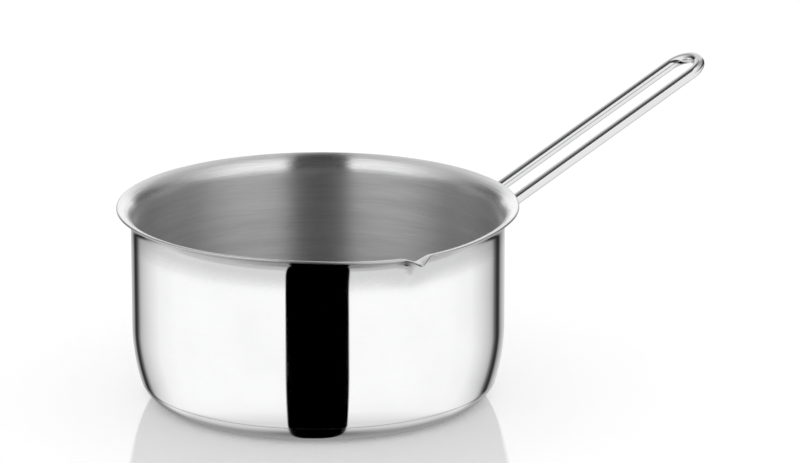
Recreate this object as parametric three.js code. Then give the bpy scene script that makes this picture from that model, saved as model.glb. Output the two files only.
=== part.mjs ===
// A stainless steel saucepan: a thin drawn vessel with a flared pouring lip and one pressed spout,
// an aluminium heat spreader sealed under its floor by a steel cap, and a hairpin handle of round rod
// welded to the wall. Millimetres, +Z up, origin at the centre of the flat underside.
// The handle points along +X and the spout along -Y, a quarter turn from it.
import * as THREE from 'three';
import { mergeVertices } from 'three/addons/utils/BufferGeometryUtils.js';

// Clearance kept between pieces that touch on the real pan.
const GAP = 0.3;

// Vessel: one drawn sheet.
const INNER_RADIUS = 80;
const VESSEL_SHEET = 1;
const RIM_HEIGHT = 84.5;
const FLARE_RADIUS = 7;
const FLARE_ANGLE = THREE.MathUtils.degToRad(80);

// Outer curve from wall to underside: a large arc below the wall runs into a tight one at the base.
const SIDE_ARC_RADIUS = 90;
const BASE_ARC_RADIUS = 12;
const ARC_CHANGE = THREE.MathUtils.degToRad(15);

// Spout: the rim swells out and down over a wide span, with a narrow beak pressed into the middle of it.
// Each has its pull outwards and down at the rim, its half width along the rim and its depth down the wall.
const SWELLING_REACH = 2;
const SWELLING_DIP = 1.7;
const SWELLING_HALF_WIDTH = 68;
const SWELLING_DEPTH = 18;
const BEAK_REACH = 3;
const BEAK_DIP = 3;
const BEAK_HALF_WIDTH = 10;
const BEAK_DEPTH = 10;
const BEAK_ROUNDING = 1.5;

// Base: heat spreader and the cap that seals it. The cap's edge is thinned where it meets the vessel.
const CORE_THICKNESS = 3;
const CAP_SHEET = 0.6;
const CAP_EDGE = 0.3;

// Handle: one round rod, bent to a hairpin, with its two ends turned down along the wall.
const ROD_DIAMETER = 5;
const ROD_SPACING = 18;
const HANDLE_LENGTH = 114;
const HANDLE_SLOPE = THREE.MathUtils.degToRad(26.8);
const KNEE_DROP = 14.2;
const KNEE_RADIUS = 9;
const LEG_LENGTH = 32;

// Fillet welds along both sides of each leg.
const WELD_SIZE = 2.8;
const WELD_INSET = 3;

// Facets.
const VESSEL_COLUMNS = 90;
const SPOUT_CROWDING = 0.7;
const BASE_COLUMNS = 72;
const ROD_SIDES = 12;
const ROD_STEPS = 110;

// Derived sizes.
const OUTER_RADIUS = INNER_RADIUS + VESSEL_SHEET;
const FLOOR_UNDERSIDE = CAP_SHEET + GAP + CORE_THICKNESS + GAP;
const FLARE_START = RIM_HEIGHT - VESSEL_SHEET / 2 - (FLARE_RADIUS + VESSEL_SHEET / 2) * Math.sin(FLARE_ANGLE);
const LIP_RADIUS = OUTER_RADIUS + FLARE_RADIUS - FLARE_RADIUS * Math.cos(FLARE_ANGLE);
const SPOUT_START = RIM_HEIGHT - SWELLING_DEPTH;

// Centres of the two arcs of the outer curve, tangent to the wall, to each other and to the flat underside.
const ARC_STEP = SIDE_ARC_RADIUS - BASE_ARC_RADIUS;
const SIDE_ARC = new THREE.Vector2(
  OUTER_RADIUS - SIDE_ARC_RADIUS,
  BASE_ARC_RADIUS + ARC_STEP * Math.sin(ARC_CHANGE),
);
const BASE_ARC = new THREE.Vector2(SIDE_ARC.x + ARC_STEP * Math.cos(ARC_CHANGE), BASE_ARC_RADIUS);

// Where the arcs change, the vessel turns in to its floor along the heel, an arc tighter than the cap's.
// Angles in the section are measured up from +r, so those of the lower quarter are negative.
const SEAM_ANGLE = -ARC_CHANGE;
const HEEL_RADIUS = BASE_ARC_RADIUS - FLOOR_UNDERSIDE / (1 + Math.sin(SEAM_ANGLE));
const HEEL_OFFSET = BASE_ARC_RADIUS - HEEL_RADIUS;
const HEEL = new THREE.Vector2(
  BASE_ARC.x + HEEL_OFFSET * Math.cos(SEAM_ANGLE),
  BASE_ARC.y + HEEL_OFFSET * Math.sin(SEAM_ANGLE),
);

const ROD_RADIUS = ROD_DIAMETER / 2;
const LEG_AXIS_RADIUS = OUTER_RADIUS + GAP + ROD_RADIUS;
const LEG_AZIMUTH = Math.asin(ROD_SPACING / 2 / LEG_AXIS_RADIUS);
const LEG_X = LEG_AXIS_RADIUS * Math.cos(LEG_AZIMUTH);
const KNEE_HEIGHT = RIM_HEIGHT - KNEE_DROP;
const KNEE_TURN = Math.PI / 2 - HANDLE_SLOPE;
const KNEE_TANGENT = KNEE_RADIUS * Math.tan(KNEE_TURN / 2);

const polished = new THREE.MeshStandardMaterial({ color: 0xdcdee0, metalness: 1, roughness: 0.08 });
const satin = new THREE.MeshStandardMaterial({ color: 0xc4c7ca, metalness: 1, roughness: 0.3 });
const aluminium = new THREE.MeshStandardMaterial({ color: 0xb8bcc0, metalness: 1, roughness: 0.5 });
const weldMetal = new THREE.MeshStandardMaterial({ color: 0xa9acae, metalness: 1, roughness: 0.4 });

// Points on a circle about centre, from one angle to another, both ends included.
function arc(centre, radius, from, to, steps) {
  return Array.from({ length: steps + 1 }, (_, i) => {
    const angle = from + ((to - from) * i) / steps;
    return new THREE.Vector2(centre.x + radius * Math.cos(angle), centre.y + radius * Math.sin(angle));
  });
}

// Points on a straight line between two heights at one radius, both ends left out.
function wallRows(radius, from, to, steps) {
  return Array.from({ length: steps - 1 }, (_, i) =>
    new THREE.Vector2(radius, from + ((to - from) * (i + 1)) / steps));
}

// The closed skin of a geometry: positions only, with shared vertices.
function closed(geometry) {
  geometry.deleteAttribute('normal');
  geometry.deleteAttribute('uv');
  return mergeVertices(geometry, 1e-5);
}

// A section turned about the Z axis. Column 0 lies towards -Y, the spout's side.
function turned(section, columns) {
  return closed(new THREE.LatheGeometry(section, columns).rotateX(Math.PI / 2));
}

// Two circles whose centres lie `offset` apart: the angle at the first centre, away from the line of centres,
// at which the first circle crosses the second, of radius `reach`.
function parting(radius, offset, reach) {
  return Math.acos((radius ** 2 + offset ** 2 - reach ** 2) / (2 * radius * offset));
}

// Outer face from the floor's underside up to the flare, round the lip's edge, and back down the inner face.
function vesselSection() {
  const flareCentre = new THREE.Vector2(OUTER_RADIUS + FLARE_RADIUS, FLARE_START);
  const lipAngle = Math.PI - FLARE_ANGLE;
  const [lipMiddle] = arc(flareCentre, FLARE_RADIUS + VESSEL_SHEET / 2, lipAngle, lipAngle, 1);
  return [
    new THREE.Vector2(0, FLOOR_UNDERSIDE),
    ...arc(HEEL, HEEL_RADIUS, -Math.PI / 2, SEAM_ANGLE, 5),
    ...arc(SIDE_ARC, SIDE_ARC_RADIUS, SEAM_ANGLE, 0, 3).slice(1),
    new THREE.Vector2(OUTER_RADIUS, SPOUT_START),
    ...wallRows(OUTER_RADIUS, SPOUT_START, FLARE_START, 3),
    ...arc(flareCentre, FLARE_RADIUS, Math.PI, lipAngle, 5),
    ...arc(lipMiddle, VESSEL_SHEET / 2, lipAngle - Math.PI, lipAngle, 4).slice(1, -1),
    ...arc(flareCentre, FLARE_RADIUS + VESSEL_SHEET, lipAngle, Math.PI, 5),
    ...wallRows(INNER_RADIUS, FLARE_START, SPOUT_START, 3),
    new THREE.Vector2(INNER_RADIUS, SPOUT_START),
    ...arc(SIDE_ARC, SIDE_ARC_RADIUS - VESSEL_SHEET, 0, SEAM_ANGLE, 3),
    ...arc(HEEL, HEEL_RADIUS - VESSEL_SHEET, SEAM_ANGLE, -Math.PI / 2, 5).slice(1),
    new THREE.Vector2(0, FLOOR_UNDERSIDE + VESSEL_SHEET),
  ];
}

// The height of the middle of the sheet under a point of either face, so that both faces move alike.
function sheetHeight(radius, height) {
  if (height <= FLARE_START) return height;
  const angle = Math.atan2(height - FLARE_START, OUTER_RADIUS + FLARE_RADIUS - radius);
  return FLARE_START + (FLARE_RADIUS + VESSEL_SHEET / 2) * Math.sin(angle);
}

// How far down a pull on the rim is felt: 1 at the rim, fading to 0 at its depth.
function fade(height, depth) {
  return Math.max(0, 1 - (RIM_HEIGHT - height) / depth) ** 2;
}

// The share of the swelling felt at a distance along the rim and a height: a cosine wave's crest.
function swelling(alongRim, height) {
  const across = Math.min(1, Math.abs(alongRim) / SWELLING_HALF_WIDTH);
  return Math.cos((across * Math.PI) / 2) ** 2 * fade(height, SWELLING_DEPTH);
}

// The share of the beak felt there: straight flanks that meet in a rounded point and run out softly.
function beak(alongRim, height) {
  const fromPeak = (along) => Math.hypot(along, BEAK_ROUNDING) - BEAK_ROUNDING;
  const across = Math.min(1, fromPeak(alongRim) / fromPeak(BEAK_HALF_WIDTH));
  return (1 - across) ** 2 * fade(height, BEAK_DEPTH);
}

// The turned sheet with its columns drawn together round the spout, and the spout pressed into the lip.
function vesselGeometry() {
  const geometry = turned(vesselSection(), VESSEL_COLUMNS);
  const position = geometry.getAttribute('position');
  for (let i = 0; i < position.count; i += 1) {
    const height = position.getZ(i);
    const radius = Math.hypot(position.getX(i), position.getY(i));
    const even = Math.atan2(position.getX(i), -position.getY(i));
    const azimuth = even - SPOUT_CROWDING * Math.sin(even);
    const sheet = sheetHeight(radius, height);
    const wide = swelling(azimuth * LIP_RADIUS, sheet);
    const narrow = beak(azimuth * LIP_RADIUS, sheet);
    const pressed = radius + SWELLING_REACH * wide + BEAK_REACH * narrow;
    const z = height - SWELLING_DIP * wide - BEAK_DIP * narrow;
    position.setXYZ(i, pressed * Math.sin(azimuth), -pressed * Math.cos(azimuth), z);
  }
  return geometry;
}

// A flat disc whose side follows the inside of the cap.
function coreGeometry() {
  const underside = CAP_SHEET + GAP;
  const top = underside + CORE_THICKNESS;
  const sideRadius = BASE_ARC_RADIUS - underside;
  const topAngle = -Math.asin((BASE_ARC.y - top) / sideRadius);
  return turned([
    new THREE.Vector2(0, underside),
    ...arc(BASE_ARC, sideRadius, -Math.PI / 2, topAngle, 4),
    new THREE.Vector2(0, top),
  ], BASE_COLUMNS);
}

// A shallow dish that carries on the vessel's outer curve, thinned to a narrow edge along the vessel's heel.
function capGeometry() {
  const insideRadius = BASE_ARC_RADIUS - CAP_SHEET;
  const heelReach = HEEL_RADIUS + GAP;
  const edgeAngle = SEAM_ANGLE - parting(BASE_ARC_RADIUS, HEEL_OFFSET, heelReach + CAP_EDGE);
  const bevelAngle = SEAM_ANGLE - parting(insideRadius, HEEL_OFFSET, heelReach);
  const edgeInside = SEAM_ANGLE - parting(BASE_ARC_RADIUS - CAP_EDGE, HEEL_OFFSET, heelReach);
  const [bevelStart] = arc(BASE_ARC, BASE_ARC_RADIUS - CAP_EDGE, edgeInside, edgeInside, 1);
  const [bevelEnd] = arc(BASE_ARC, insideRadius, bevelAngle, bevelAngle, 1);
  const aroundHeel = (point) => Math.atan2(point.y - HEEL.y, point.x - HEEL.x);
  return turned([
    new THREE.Vector2(0, 0),
    ...arc(BASE_ARC, BASE_ARC_RADIUS, -Math.PI / 2, edgeAngle, 6),
    ...arc(HEEL, heelReach, aroundHeel(bevelStart), aroundHeel(bevelEnd), 3),
    ...arc(BASE_ARC, insideRadius, bevelAngle, -Math.PI / 2, 5).slice(1),
    new THREE.Vector2(0, CAP_SHEET),
  ], BASE_COLUMNS);
}

// A circular bend in space: it starts from centre + radius * out and turns towards ahead.
class Bend extends THREE.Curve {
  constructor(centre, out, ahead, radius, turn) {
    super();
    Object.assign(this, { centre, out, ahead, radius, turn });
  }

  getPoint(t, target = new THREE.Vector3()) {
    const angle = t * this.turn;
    return target.copy(this.centre)
      .addScaledVector(this.out, this.radius * Math.cos(angle))
      .addScaledVector(this.ahead, this.radius * Math.sin(angle));
  }
}

// The rod's centre line: up one leg, over the knee, out along the slope, round the hairpin and back again.
// It is drawn from the middle of the two knees, with +X along the handle's plan.
function hairpinPath() {
  const side = new THREE.Vector3(0, ROD_SPACING / 2, 0);
  const up = new THREE.Vector3(0, 0, 1);
  const outward = new THREE.Vector3(1, 0, 0);
  const slope = new THREE.Vector3(Math.cos(HANDLE_SLOPE), 0, Math.sin(HANDLE_SLOPE));
  const away = slope.clone().multiplyScalar(-1);
  const acrossSlope = new THREE.Vector3(-slope.z, 0, slope.x);
  const legEnd = up.clone().multiplyScalar(-LEG_LENGTH);
  const kneeLow = up.clone().multiplyScalar(-KNEE_TANGENT);
  const kneeHigh = slope.clone().multiplyScalar(KNEE_TANGENT);
  const kneeCentre = kneeLow.clone().addScaledVector(outward, KNEE_RADIUS);
  const tip = slope.clone().multiplyScalar(HANDLE_LENGTH);
  const near = (point) => point.clone().sub(side);
  const far = (point) => point.clone().add(side);
  const path = new THREE.CurvePath();
  path.add(new THREE.LineCurve3(near(legEnd), near(kneeLow)));
  path.add(new Bend(near(kneeCentre), outward.clone().negate(), up, KNEE_RADIUS, KNEE_TURN));
  path.add(new THREE.LineCurve3(near(kneeHigh), near(tip)));
  path.add(new Bend(tip, side.clone().normalize().negate(), slope, ROD_SPACING / 2, Math.PI));
  path.add(new THREE.LineCurve3(far(tip), far(kneeHigh)));
  path.add(new Bend(far(kneeCentre), acrossSlope, away, KNEE_RADIUS, KNEE_TURN));
  path.add(new THREE.LineCurve3(far(kneeLow), far(legEnd)));
  return path;
}

function handleGeometry() {
  const section = new THREE.Shape().absarc(0, 0, ROD_RADIUS, 0, 2 * Math.PI);
  return closed(new THREE.ExtrudeGeometry(section, {
    extrudePath: hairpinPath(),
    steps: ROD_STEPS,
    curveSegments: ROD_SIDES / 2,
  }));
}

// A fillet weld in the nook between a leg and the wall, drawn with the pan's axis at the origin and the leg
// on +X. side is 1 or -1. The face between wall and rod is hollow, as a washed-in bead is.
function weldGeometry(side) {
  const wall = OUTER_RADIUS + GAP;
  const legFace = ROD_RADIUS + GAP;
  const root = side * parting(wall, LEG_AXIS_RADIUS, legFace);
  const toe = root + (side * WELD_SIZE) / wall;
  const legRoot = Math.atan2(wall * Math.sin(root), wall * Math.cos(root) - LEG_AXIS_RADIUS);
  const legToe = legRoot - (side * WELD_SIZE) / legFace;
  const hollow = new THREE.Vector2(wall + WELD_SIZE / 3, wall * Math.sin(root) + (side * WELD_SIZE) / 2);
  const clockwise = side < 0;
  const section = new THREE.Shape()
    .absarc(0, 0, wall, root, toe, clockwise)
    .quadraticCurveTo(
      hollow.x,
      hollow.y,
      LEG_AXIS_RADIUS + legFace * Math.cos(legToe),
      legFace * Math.sin(legToe),
    )
    .absarc(LEG_AXIS_RADIUS, 0, legFace, legToe, legRoot, clockwise);
  const depth = LEG_LENGTH - KNEE_TANGENT - 2 * WELD_INSET;
  return closed(new THREE.ExtrudeGeometry(section, { depth, bevelEnabled: false, curveSegments: 4 }));
}

function piece(name, geometry, material) {
  const mesh = new THREE.Mesh(geometry, material);
  mesh.name = name;
  return mesh;
}

const base = new THREE.Group();
base.add(piece('base_cap', capGeometry(), satin));
base.add(piece('base_core', coreGeometry(), aluminium));

const handle = new THREE.Group();
const rod = piece('handle_rod', handleGeometry(), polished);
rod.position.set(LEG_X, 0, KNEE_HEIGHT);
handle.add(rod);
for (const [legName, legSide] of [['near', -1], ['far', 1]]) {
  const leg = new THREE.Group();
  leg.rotation.z = legSide * LEG_AZIMUTH;
  leg.position.z = KNEE_HEIGHT - LEG_LENGTH + WELD_INSET;
  leg.add(piece(`weld_${legName}_inner`, weldGeometry(-legSide), weldMetal));
  leg.add(piece(`weld_${legName}_outer`, weldGeometry(legSide), weldMetal));
  handle.add(leg);
}

const saucepan = new THREE.Group();
saucepan.add(piece('vessel', vesselGeometry(), polished), base, handle);

export default saucepan;
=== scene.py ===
"""A stainless steel saucepan with a flared pouring lip and a hairpin rod handle, in a white studio.

Lengths are in metres in the part's own frame: +Z is up, the handle points along +X and the spout
along -Y, and the origin is the centre of the flat underside.
"""

import logging
import math
from dataclasses import dataclass
from enum import Enum
from typing import Any, Sequence

import bpy
import numpy as np
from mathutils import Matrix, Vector


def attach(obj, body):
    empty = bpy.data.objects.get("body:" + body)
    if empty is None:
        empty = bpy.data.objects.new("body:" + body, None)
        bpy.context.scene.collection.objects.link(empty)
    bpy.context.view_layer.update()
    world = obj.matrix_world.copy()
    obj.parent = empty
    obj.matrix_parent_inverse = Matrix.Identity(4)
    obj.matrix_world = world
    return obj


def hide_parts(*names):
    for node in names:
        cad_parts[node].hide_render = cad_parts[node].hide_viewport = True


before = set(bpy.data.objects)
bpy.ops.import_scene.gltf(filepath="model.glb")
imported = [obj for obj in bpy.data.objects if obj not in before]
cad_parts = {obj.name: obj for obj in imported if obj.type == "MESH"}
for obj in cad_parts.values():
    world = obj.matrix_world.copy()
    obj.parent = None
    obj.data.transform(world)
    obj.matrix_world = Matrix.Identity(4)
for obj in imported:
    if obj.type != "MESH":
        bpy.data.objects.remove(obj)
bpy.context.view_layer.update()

log = logging.getLogger("saucepan")

Colour = tuple[float, float, float, float]
Fade = tuple[float, float]
Stops = tuple[tuple[float, float], ...]
Material = bpy.types.Material
Object = bpy.types.Object
Socket = bpy.types.NodeSocket

GRAIN = "grain"
BODY = "root"
WHITE: Colour = (1.0, 1.0, 1.0, 1.0)
STRAIGHT_DOWN = -math.pi / 2
SENSOR_WIDTH = 36.0  # in millimetres
PIXELS_PER_METRE = 2298.0  # of the picture, at the camera's target


class Slot(Enum):
    """The finishes that the part's record names."""

    POLISHED = "polished_steel"
    SATIN = "satin_steel"
    CORE = "core_aluminium"
    WELD = "weld_steel"


class Leg(Enum):
    """The two legs of the handle, by the sign of their Y."""

    NEAR = -1
    FAR = 1


class Nook(Enum):
    """The two sides of a leg, by whether they face the handle's middle plane."""

    INNER = -1
    OUTER = 1


def arc(
    centre: Sequence[float], radius: float, start: float, end: float, steps: int
) -> np.ndarray:
    """Points of a circle: centre plus radius times (cosine, sine) of evenly spaced angles.

    Args:
        centre: Radius and height of the circle's centre in the section.
        radius: Radius of the circle.
        start: First angle in radians, measured up from +r.
        end: Last angle in radians.
        steps: Number of steps between the two angles.

    Returns:
        An array of steps + 1 points, both ends included.
    """
    angle = np.linspace(start, end, steps + 1)
    return np.asarray(centre) + radius * np.stack([np.cos(angle), np.sin(angle)], axis=1)


def line(start: Sequence[float], end: Sequence[float], shares: Sequence[float]) -> np.ndarray:
    """Points of a straight line: start plus each share of the way to the end.

    Args:
        start: First point.
        end: Last point.
        shares: Shares of the way, from 0 to 1, at which points are wanted.

    Returns:
        An array with one point for each share.
    """
    first = np.asarray(start, float)
    share = np.asarray(shares, float)[:, None]
    return first + share * (np.asarray(end, float) - first)


def path_length(points: np.ndarray) -> np.ndarray:
    """Distance walked along a row of points: the running sum of the steps between them.

    Args:
        points: Points in order, one a row.

    Returns:
        One distance for each point, starting from 0.
    """
    steps = np.linalg.norm(np.diff(points, axis=0), axis=1)
    return np.concatenate([[0.0], np.cumsum(steps)])


@dataclass
class Skin:
    """A closed surface: rings of points one above the other, with a pole at each end.

    Attributes:
        rings: Points of the rings, as rows by columns by 3.
        poles: The two end points, as 2 by 3.
        grain: Place on the surface that a pattern follows, for the first pole, each ring point
            and the last pole.
        bands: Index of the material between one ring and the next, with the two end caps as
            first and last.
    """

    rings: np.ndarray
    poles: np.ndarray
    grain: np.ndarray
    bands: np.ndarray

    def faces(self) -> tuple[np.ndarray, np.ndarray, np.ndarray]:
        """Joins each ring to the next by quads, and the end rings to their poles by triangles.

        Returns:
            The first pole's triangles, the quads between rings, and the last pole's triangles.
        """
        rows, columns = self.rings.shape[:2]
        column = np.arange(columns)
        beside = (column + 1) % columns
        low = 1 + np.arange(rows - 1)[:, None] * columns
        high = low + columns
        quads = np.stack([low + column, low + beside, high + beside, high + column], axis=-1)
        last = 1 + (rows - 1) * columns
        pole = np.full_like(column, last + columns)
        start = np.stack([np.zeros_like(column), 1 + beside, 1 + column], axis=-1)
        end = np.stack([last + column, last + beside, pole], axis=-1)
        return start, quads.reshape(-1, 4), end

    def make(self, name: str, materials: Sequence[Material], crease: float) -> Object:
        """Puts the surface into a smooth-shaded mesh object at the origin.

        Args:
            name: Name of the object and its mesh.
            materials: Materials that the bands count.
            crease: Angle in radians past which an edge is drawn sharp.

        Returns:
            The new object, linked to the scene.
        """
        points = np.concatenate([self.poles[:1], self.rings.reshape(-1, 3), self.poles[1:]])
        faces = [face for part in self.faces() for face in part.tolist()]
        bands = np.repeat(self.bands, self.rings.shape[1])
        mesh = bpy.data.meshes.new(name)
        mesh.from_pydata(points.tolist(), [], faces)
        for material in materials:
            mesh.materials.append(material)
        mesh.polygons.foreach_set("material_index", bands.astype(np.int32))
        store = mesh.attributes.new(GRAIN, "FLOAT_VECTOR", "POINT")
        store.data.foreach_set("vector", self.grain.astype(np.float32).ravel())
        mesh.shade_smooth()
        mesh.set_sharp_from_angle(angle=crease)
        mesh.update()
        made = bpy.data.objects.new(name, mesh)
        bpy.context.scene.collection.objects.link(made)
        return made


def turned(radius: np.ndarray, height: np.ndarray, azimuth: np.ndarray) -> np.ndarray:
    """Rings about Z: x is radius times sine and y minus radius times cosine of the azimuth.

    Args:
        radius: Radius of each row, or of each row and column.
        height: Height of each row, or of each row and column.
        azimuth: Azimuth of each column in radians, from -Y towards +X.

    Returns:
        The rings, as rows by columns by 3.
    """
    x, y = radius * np.sin(azimuth), -radius * np.cos(azimuth)
    return np.stack([x, y, np.broadcast_to(height, x.shape)], axis=-1)


def turned_skin(section: np.ndarray, azimuth: np.ndarray, bands: np.ndarray) -> Skin:
    """The closed skin of a section that starts and ends on the axis.

    The grain runs round the axis: its first two numbers are x and y, and its third is the length
    walked along the section, so a pattern stretched in the first two makes fine rings.

    Args:
        section: Radius and height of each point, the first and last on the axis.
        azimuth: Azimuths of the columns in radians.
        bands: Material index of each gap between points of the section.

    Returns:
        The skin.
    """
    walked = path_length(section)
    rings = turned(section[1:-1, :1], section[1:-1, 1:], azimuth)
    poles = np.array([[0.0, 0.0, section[0, 1]], [0.0, 0.0, section[-1, 1]]])
    along = np.broadcast_to(walked[1:-1, None], rings.shape[:2])
    grain = np.concatenate([rings[..., :2], along[..., None]], axis=-1).reshape(-1, 3)
    ends = np.array([[0.0, 0.0, walked[0]], [0.0, 0.0, walked[-1]]])
    return Skin(rings, poles, np.concatenate([ends[:1], grain, ends[1:]]), bands)


def adopt(made: Object, node: str) -> None:
    """Fixes a finished piece to the pan's body, in place of the CAD node that it stands for.

    Args:
        made: The finished piece.
        node: Name of the CAD node.
    """
    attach(made, BODY)
    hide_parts(node)
    log.info("%s: %d faces, for %s", made.name, len(made.data.polygons), node)


class Wiring:
    """Places nodes in one node tree and joins them."""

    def __init__(self, tree: bpy.types.NodeTree) -> None:
        """Takes the tree to work in."""
        self.tree = tree

    @classmethod
    def fresh(cls, owner: bpy.types.ID) -> "Wiring":
        """Clears the tree of a material or world, to work in it.

        Args:
            owner: The material or world.

        Returns:
            The wiring of its empty tree.
        """
        owner.use_nodes = True
        owner.node_tree.nodes.clear()
        return cls(owner.node_tree)

    def node(
        self, kind: str, inputs: dict[Any, Any] | None = None, **settings: Any
    ) -> bpy.types.Node:
        """Adds a node.

        Args:
            kind: Blender's name of the node type.
            inputs: Value or source socket of each input, by its name or number.
            settings: Properties of the node.

        Returns:
            The new node.
        """
        made = self.tree.nodes.new(kind)
        for key, value in settings.items():
            setattr(made, key, value)
        for key, value in (inputs or {}).items():
            if isinstance(value, Socket):
                self.tree.links.new(value, made.inputs[key])
            else:
                made.inputs[key].default_value = value
        return made

    def math(self, operation: str, *terms: Any) -> Socket:
        """Adds a Math node.

        Args:
            operation: Blender's name of the operation.
            terms: Numbers or source sockets, in order.

        Returns:
            The socket of the result.
        """
        inputs = dict(enumerate(terms))
        return self.node("ShaderNodeMath", inputs, operation=operation).outputs[0]

    def weigh(self, first: Socket, second: Socket, share: float) -> Socket:
        """Adds two values up: the first times its share, plus the second times the rest."""
        rest = self.math("MULTIPLY", second, 1.0 - share)
        return self.math("MULTIPLY_ADD", first, share, rest)

    def stretch(self, value: Socket, span: Fade, to: Sequence[Any]) -> Socket:
        """Carries a value from one range to another in a straight line, held at both ends.

        Args:
            value: Source socket.
            span: The values that give the first and the second result.
            to: The two results, as numbers or sockets.

        Returns:
            The socket of the result.
        """
        source = {"Value": value, "From Min": span[0], "From Max": span[1]}
        result = {"To Min": to[0], "To Max": to[1]}
        return self.node("ShaderNodeMapRange", source | result).outputs["Result"]

    def rise(self, value: Socket, span: Fade, top: float = 1.0) -> Socket:
        """A value that rises over a span, from 0 to its top."""
        return self.stretch(value, span, (0.0, top))

    def fall(self, value: Socket, span: Fade) -> Socket:
        """A value that falls over a span, from 1 to 0."""
        return self.stretch(value, span, (1.0, 0.0))

    def mix(self, share: Any, first: Any, second: Any, kind: str = "MIX") -> Socket:
        """Mixes two colours.

        Args:
            share: Share of the second colour, or its socket.
            first: First colour or its socket.
            second: Second colour or its socket.
            kind: Blender's name of the way in which they are mixed.

        Returns:
            The socket of the mixed colour.
        """
        inputs = {0: share, 6: first, 7: second}
        made = self.node("ShaderNodeMix", inputs, data_type="RGBA", blend_type=kind)
        return made.outputs[2]

    def shade(self, first: Socket, second: Socket) -> Socket:
        """Multiplies two colours."""
        return self.mix(1.0, first, second, "MULTIPLY")

    def ramp(self, share: Socket, stops: Stops) -> Socket:
        """Adds a grey ramp.

        Args:
            share: Socket of the place on the ramp, from 0 to 1.
            stops: Place and grey of each stop.

        Returns:
            The socket of the grey.
        """
        made = self.node("ShaderNodeValToRGB", {0: share})
        elements = made.color_ramp.elements
        for place, _ in stops[1:-1]:
            elements.new(place)
        for element, (place, grey) in zip(elements, stops):
            element.position = place
            element.color = (grey, grey, grey, 1.0)
        return made.outputs[0]


@dataclass(frozen=True)
class Noise:
    """A noise texture, and the part of its range that is carried to 0 to 1.

    Attributes:
        scale: Repeats for each unit of place.
        detail: Number of finer layers.
        roughness: Strength of a layer against the one before it.
        kept: The noise that gives 0, and the noise that gives 1.
    """

    scale: float
    detail: float
    roughness: float
    kept: Fade

    def add(self, wiring: Wiring, place: Socket) -> Socket:
        """Adds the texture to a tree.

        Args:
            wiring: Wiring of the tree.
            place: Socket of the place.

        Returns:
            The socket of the result.
        """
        layers = {"Detail": self.detail, "Roughness": self.roughness}
        inputs = {"Vector": place, "Scale": self.scale} | layers
        texture = wiring.node("ShaderNodeTexNoise", inputs)
        return wiring.rise(texture.outputs[0], self.kept)


BRUSH_LINES = Noise(scale=1.0, detail=3.0, roughness=0.6, kept=(0.3, 0.7))
BRUSH_STREAKS = Noise(scale=0.22, detail=2.0, roughness=0.5, kept=(0.3, 0.7))
WIPED_CLOUDS = Noise(scale=34.0, detail=4.0, roughness=0.55, kept=(0.38, 0.72))
HAIRLINES = Noise(scale=1.0, detail=1.0, roughness=0.5, kept=(0.69, 0.78))
HAIRLINE_LAYERS = (
    {"Rotation": (0.5, 0.9, 0.2), "Scale": (45.0, 1500.0, 1500.0)},
    {"Rotation": (1.1, -0.4, 0.8), "Scale": (1300.0, 38.0, 1300.0)},
)


class Effects:
    """The surface effects that several finishes share, each a node group that is made once."""

    def __init__(self) -> None:
        """Makes the groups."""
        self.brushing = self._brushing()
        self.handling = self._handling()

    @staticmethod
    def _group(name: str, inputs: Sequence[str], outputs: Sequence[str]) -> tuple[Wiring, Any, Any]:
        """Starts a group with its sockets.

        Args:
            name: Name of the group.
            inputs: Names of the vectors that it takes.
            outputs: Names of the values that it puts out.

        Returns:
            The wiring of the group, its input node and its output node.
        """
        tree = bpy.data.node_groups.new(name, "ShaderNodeTree")
        for label in inputs:
            tree.interface.new_socket(label, in_out="INPUT", socket_type="NodeSocketVector")
        for label in outputs:
            tree.interface.new_socket(label, in_out="OUTPUT", socket_type="NodeSocketFloat")
        wiring = Wiring(tree)
        return wiring, wiring.node("NodeGroupInput"), wiring.node("NodeGroupOutput")

    def _brushing(self) -> bpy.types.NodeTree:
        """Brush marks: noise drawn out along the grain, as fine lines and as wider streaks.

        Returns:
            The group, with the grain and its repeats as inputs, and a line and a streak from 0
            to 1 as outputs.
        """
        wiring, entry, leaving = self._group("brushing", ["Grain", "Stretch"], ["Line", "Streak"])
        terms = {0: entry.outputs["Grain"], 1: entry.outputs["Stretch"]}
        drawn = wiring.node("ShaderNodeVectorMath", terms, operation="MULTIPLY").outputs[0]
        link = wiring.tree.links.new
        link(BRUSH_LINES.add(wiring, drawn), leaving.inputs["Line"])
        link(BRUSH_STREAKS.add(wiring, drawn), leaving.inputs["Streak"])
        return wiring.tree

    def _handling(self) -> bpy.types.NodeTree:
        """Marks of use: soft clouds where the metal was wiped, and sparse hairline scratches.

        A scratch is noise drawn out in one direction and kept only where it is strongest; two
        such layers cross each other.

        Returns:
            The group, with a place as its input, and a smudge and a scratch from 0 to 1 as outputs.
        """
        wiring, entry, leaving = self._group("handling", ["Place"], ["Smudge", "Scratch"])
        place = {"Vector": entry.outputs["Place"]}
        laid = [wiring.node("ShaderNodeMapping", place | layer) for layer in HAIRLINE_LAYERS]
        lines = [HAIRLINES.add(wiring, layer.outputs[0]) for layer in laid]
        link = wiring.tree.links.new
        link(WIPED_CLOUDS.add(wiring, entry.outputs["Place"]), leaving.inputs["Smudge"])
        link(wiring.math("MAXIMUM", *lines), leaving.inputs["Scratch"])
        return wiring.tree


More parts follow.
